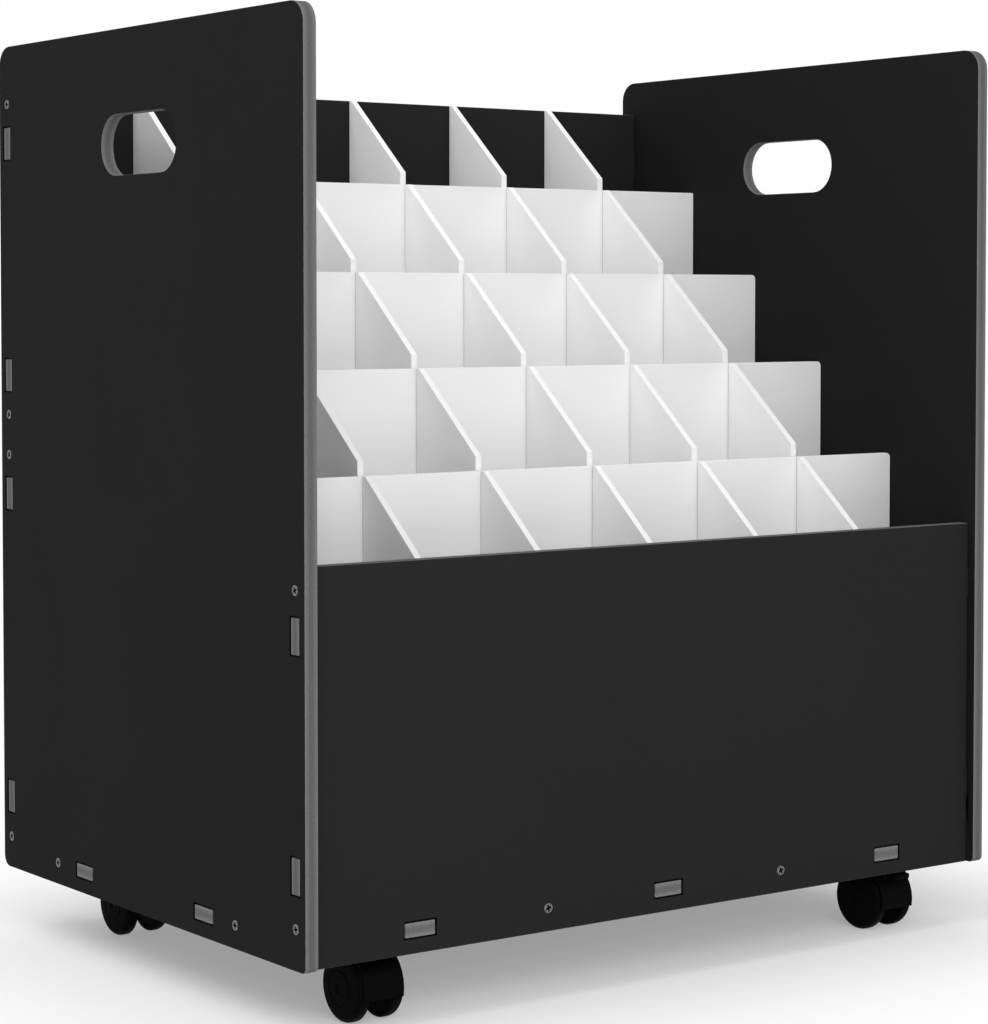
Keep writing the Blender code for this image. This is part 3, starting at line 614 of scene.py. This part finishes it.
def dress_nodes():
    # Painted shade: the side panels take a darker copy of the face tones.
    dress_boards(("left_side_panel", "right_side_panel"), ACROSS_X, SHADED_SIDE_FACE, CORE)
    dress_boards(("front_panel", "upper_back_panel", "lower_back_panel"), ACROSS_Y, UPRIGHT_FACE, CORE)
    # Painted light: the bottom panel takes a lighter copy of the core tones.
    dress_boards(("bottom_panel",), ACROSS_Z, UPRIGHT_FACE, LIT_FLAT_CORE)
    for name in NODES:
        if name.startswith("long_divider"):
            dress(name, DIVIDER_X, DIVIDER_ROUNDING)
        elif name.startswith("cross_divider"):
            dress(name, DIVIDER_Y, DIVIDER_ROUNDING)
        elif name.endswith("_caster_plate"):
            dress(name, PLATE_STEEL, PLATE_ROUNDING)
        elif name.endswith("_caster_axle"):
            dress(name, AXLE_STEEL, PLATE_ROUNDING)
        elif name.endswith("_caster_housing") or name.endswith("_brake_lever"):
            dress(name, PLASTIC, MOULDING_ROUNDING)


# Meshes of the pieces modelled here

def quarter_arc(centre, radius, steps):
    """Points from the top of a circle round to its outer side."""
    angles = [math.radians(90 - 90 * step / steps) for step in range(steps + 1)]
    return [(centre[0] + radius * math.cos(a), centre[1] + radius * math.sin(a)) for a in angles]


def mesh_from(work, name, material):
    """A mesh from a bmesh, closed up, facing out and smooth between its sharp edges."""
    bmesh.ops.remove_doubles(work, verts=work.verts, dist=MESH_WELD)
    bmesh.ops.recalc_face_normals(work, faces=work.faces)
    mesh = bpy.data.meshes.new(name)
    work.to_mesh(mesh)
    work.free()
    mesh.shade_smooth()
    mesh.set_sharp_from_angle(angle=SMOOTH_ANGLE)
    mesh.materials.append(material)
    return mesh


def turned(name, profile, sides, material):
    """A solid turned about its own Z from a profile of (radius, z), which runs from axis to axis."""
    work = bmesh.new()
    points = [work.verts.new((radius, 0.0, z)) for radius, z in profile]
    lines = [work.edges.new(pair) for pair in zip(points, points[1:])]
    bmesh.ops.spin(work, geom=points + lines, cent=(0.0, 0.0, 0.0), axis=(0.0, 0.0, 1.0),
                   angle=2 * math.pi, steps=sides)
    return mesh_from(work, name, material)


def tapered_slot(turn, top, depth):
    """A bar with sloping ends, for half of a cross recess."""
    work = bmesh.new()
    bmesh.ops.create_cube(work, size=1.0)
    for corner in work.verts:
        low = corner.co.z < 0
        span = RECESS_SPAN * (RECESS_SPAN_SHARE if low else 1.0)
        width = RECESS_WIDTH * (RECESS_WIDTH_SHARE if low else 1.0)
        height = top - depth if low else top + depth
        corner.co = Vector((corner.co.x * span, corner.co.y * width, height))
    bmesh.ops.rotate(work, verts=work.verts, matrix=Matrix.Rotation(turn, 3, "Z"))
    mesh = bpy.data.meshes.new("recess")
    work.to_mesh(mesh)
    work.free()
    return mesh


def cross_cut(mesh, top, depth, material):
    """The mesh with a cross recess sunk into its top."""
    head = bpy.data.objects.new("head", mesh)
    bpy.context.scene.collection.objects.link(head)
    bars = []
    for turn in (0.0, math.pi / 2):
        bar = bpy.data.objects.new("bar", tapered_slot(turn, top, depth))
        bpy.context.scene.collection.objects.link(bar)
        cut = head.modifiers.new("recess", "BOOLEAN")
        cut.operation = "DIFFERENCE"
        cut.solver = "EXACT"
        cut.object = bar
        bars.append(bar)
    made = bpy.data.meshes.new_from_object(head.evaluated_get(bpy.context.evaluated_depsgraph_get()))
    for old in (head, *bars):
        bpy.data.objects.remove(old, do_unlink=True)
    work = bmesh.new()
    work.from_mesh(made)
    return mesh_from(work, mesh.name, material)


def countersunk_screw():
    """A countersunk screw with the board's face at z = 0 and its tip below."""
    top = -HEAD_SINK
    neck = top - (HEAD_RADIUS - SHANK_RADIUS)
    tip = top - SCREW_LENGTH
    profile = [
        (0.0, top),
        (HEAD_RADIUS - RIM_CHAMFER, top),
        (HEAD_RADIUS, top - RIM_CHAMFER),
        (SHANK_RADIUS, neck),
        (SHANK_RADIUS, tip + SCREW_TIP),
        (0.0, tip),
    ]
    blank = turned("countersunk_screw", profile, SCREW_SIDES, SCREW_STEEL)
    return cross_cut(blank, top, RECESS_DEPTH, SCREW_STEEL)


def pan_screw():
    """A pan-head screw with its seat at z = 0 and its short shank below."""
    corner = (PAN_RADIUS - PAN_CORNER, PAN_HEIGHT - PAN_CORNER)
    profile = [(0.0, PAN_HEIGHT)]
    profile += quarter_arc(corner, PAN_CORNER, PAN_CORNER_STEPS)
    profile += [(PAN_RADIUS, 0.0), (PAN_SHANK, 0.0)]
    profile += [(PAN_SHANK, -PAN_SHANK_LENGTH), (0.0, -PAN_SHANK_LENGTH)]
    blank = turned("pan_screw", profile, PAN_SIDES, SCREW_STEEL)
    return cross_cut(blank, PAN_HEIGHT, PAN_RECESS, SCREW_STEEL)


def wheel_mesh():
    """Wheel turned about its own Z: dimpled hub, ring groove, round shoulder, tread and hollow back."""
    crown = WHEEL_OUTER - WHEEL_CLEARANCE
    shoulder = (WHEEL_RADIUS - WHEEL_SHOULDER, WHEEL_SHOULDER_TOP - WHEEL_SHOULDER)
    profile = [(radius, crown - depth) for radius, depth in HUB_DIMPLE + DISC + RING_GROOVE]
    profile += quarter_arc(shoulder, WHEEL_SHOULDER, WHEEL_SHOULDER_STEPS)
    profile += [(radius, WHEEL_INNER + depth) for radius, depth in INNER_RIM + INNER_HOLLOW]
    profile += [(WHEEL_BORE, WHEEL_INNER), (WHEEL_BORE, WHEEL_BORE_END), (0.0, WHEEL_BORE_END)]
    return turned("caster_wheel", profile, WHEEL_SIDES, WHEEL)


def rib_mesh():
    """Grip ribs across a brake lever's pedal, about the lever's pivot."""
    work = bmesh.new()
    for y in RIB_PLACES:
        made = bmesh.ops.create_cube(work, size=1.0)
        bmesh.ops.scale(work, verts=made["verts"], vec=(RIB_LENGTH, RIB_WIDTH, 2 * RIB_HEIGHT))
        bmesh.ops.translate(work, verts=made["verts"], vec=(0.0, y, LEVER_TOP))
    bmesh.ops.bevel(work, geom=work.edges[:], offset=RIB_ROUNDING, segments=ROUNDING_SEGMENTS,
                    affect="EDGES")
    return mesh_from(work, "grip_ribs", PLASTIC)


# Placing

def add_piece(name, mesh, place, body, node_name=None):
    piece = bpy.data.objects.new(name, mesh)
    bpy.context.scene.collection.objects.link(piece)
    piece.matrix_world = place
    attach(piece, body)
    if node_name:
        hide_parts(node_name)


def middle(name):
    low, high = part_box(name)
    return (low + high) / 2


def spun(degrees):
    return Matrix.Rotation(math.radians(degrees), 4, "Z")


def add_screws():
    """Fine screws in the boards; each kind has a turn, an axis and the end of its box with the head."""
    mesh = countersunk_screw()
    kinds = {
        "left_side_screw": (FACING_LEFT, 0, 0),
        "right_side_screw": (FACING_RIGHT, 0, 1),
        "front_screw": (FACING_FRONT, 1, 0),
        "back_screw": (FACING_BACK, 1, 1),
    }
    for name in sorted(NODES):
        kind, _, count = name.rpartition("_")
        if kind not in kinds:
            continue
        turn, axis, end = kinds[kind]
        place = middle(name)
        outward = 1 if end else -1
        place[axis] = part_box(name)[end][axis] + outward * HEAD_SINK
        spin = spun(SCREW_STEP * (int(count) % SCREW_STEPS))
        place = Matrix.Translation(place) @ turn @ spin
        add_piece("fine_" + name, mesh, place, "cart", name)


def add_plate_screws(caster, kingpin, mesh):
    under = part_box(caster + "_caster_plate")[1].z - PLATE_THICKNESS
    for count, (right, back) in enumerate(((-1, -1), (1, -1), (1, 1), (-1, 1)), 1):
        x = kingpin.x + right * PLATE_SCREW_REACH
        y = kingpin.y + back * PLATE_SCREW_REACH
        place = Matrix.Translation((x, y, under)) @ FACING_DOWN @ spun(PLATE_SCREW_STEP * count)
        add_piece(f"{caster}_plate_screw_{count}", mesh, place, "cart")


def add_caster_pieces():
    pan = pan_screw()
    wheel = wheel_mesh()
    ribs = rib_mesh()
    for caster in CASTERS:
        kingpin = Vector(JOINTS[caster + "_swivel_turn"]["pos_m"])
        add_plate_screws(caster, kingpin, pan)
        for hand, turn in (("left", FACING_LEFT), ("right", FACING_RIGHT)):
            name = f"{caster}_{hand}_wheel"
            axle = Vector(JOINTS[name + "_spin"]["pos_m"])
            axle.x = kingpin.x
            add_piece("fine_" + name, wheel, Matrix.Translation(axle) @ turn, name, name)
        if caster in BRAKED:
            pivot = Vector(JOINTS[caster + "_brake_lever_tip"]["pos_m"])
            place = Matrix.Translation(pivot) @ Matrix.Rotation(LEVER_TILT, 4, "X")
            add_piece(caster + "_lever_ribs", ribs, place, caster + "_brake_lever")


# Stage

def seen_directly(tree):
    """1 for rays from the camera, mirrors and glass, 0 for the rays that light the object."""
    path = node(tree, "LightPath", {})
    first = number(tree, "MAXIMUM", path["Is Camera Ray"], path["Is Glossy Ray"])
    return number(tree, "MAXIMUM", first, path["Is Transmission Ray"])


def build_world():
    world = bpy.data.worlds.new("studio")
    bpy.context.scene.world = world
    world.use_nodes = True
    tree = world.node_tree
    tree.nodes.clear()
    light = node(tree, "Background", {"Color": WHITE, "Strength": WORLD_STRENGTH})[0]
    white = node(tree, "Background", {"Color": WHITE, "Strength": 1.0})[0]
    both = node(tree, "MixShader", {0: seen_directly(tree), 1: light, 2: white})[0]
    node(tree, "OutputWorld", {"Surface": both})


def floor_material():
    """Pale floor that keeps the object's shadow and fades to plain white away from it."""
    made = bpy.data.materials.new("pale_floor")
    made.use_nodes = True
    tree = made.node_tree
    tree.nodes.clear()
    place = object_place(tree)
    past = vector(tree, "SUBTRACT", vector(tree, "ABSOLUTE", place), FOOTPRINT_HALF)
    distance = extent(tree, "LENGTH", vector(tree, "MAXIMUM", past, (0.0, 0.0, 0.0)))
    far = remap(tree, distance, 0.0, FADE_DISTANCE, *FADE_WHITE)
    mottle = mixed(tree, noise(tree, place, scale=3.0), *FLOOR_TONES)
    matt = node(tree, "BsdfDiffuse", {"Color": mottle})[0]
    white = node(tree, "Emission", {"Color": WHITE, "Strength": 1.0})[0]
    both = node(tree, "MixShader", {0: times(tree, far, seen_directly(tree)), 1: matt, 2: white})[0]
    node(tree, "OutputMaterial", {"Surface": both})
    return made


def build_floor():
    work = bmesh.new()
    bmesh.ops.create_grid(work, x_segments=FLOOR_CELLS, y_segments=FLOOR_CELLS, size=FLOOR_HALF)
    mesh = bpy.data.meshes.new("floor")
    work.to_mesh(mesh)
    work.free()
    mesh.materials.append(floor_material())
    floor = bpy.data.objects.new("floor", mesh)
    bpy.context.scene.collection.objects.link(floor)


def add_lamp(name, place, power):
    light = bpy.data.lights.new(name, "AREA")
    light.shape = "SQUARE"
    light.size = LAMP_SIZE
    light.energy = power
    lamp = bpy.data.objects.new(name, light)
    bpy.context.scene.collection.objects.link(lamp)
    lamp.location = place
    lamp.rotation_euler = (Vector(LAMP_TARGET) - Vector(place)).to_track_quat("-Z", "Y").to_euler()


def build_camera():
    data = bpy.data.cameras.new("camera")
    data.lens = CAMERA_LENS
    data.sensor_width = CAMERA_SENSOR
    data.shift_y = CAMERA_SHIFT_Y
    camera = bpy.data.objects.new("camera", data)
    bpy.context.scene.collection.objects.link(camera)
    camera.location = CAMERA_PLACE
    camera.rotation_euler = CAMERA_TURN
    bpy.context.scene.camera = camera


def build_studio():
    build_world()
    build_floor()
    for name, (place, power) in LAMPS.items():
        add_lamp(name, place, power)
    build_camera()
    bpy.context.scene.view_settings.view_transform = "Standard"


dress_nodes()
add_screws()
add_caster_pieces()
build_studio()
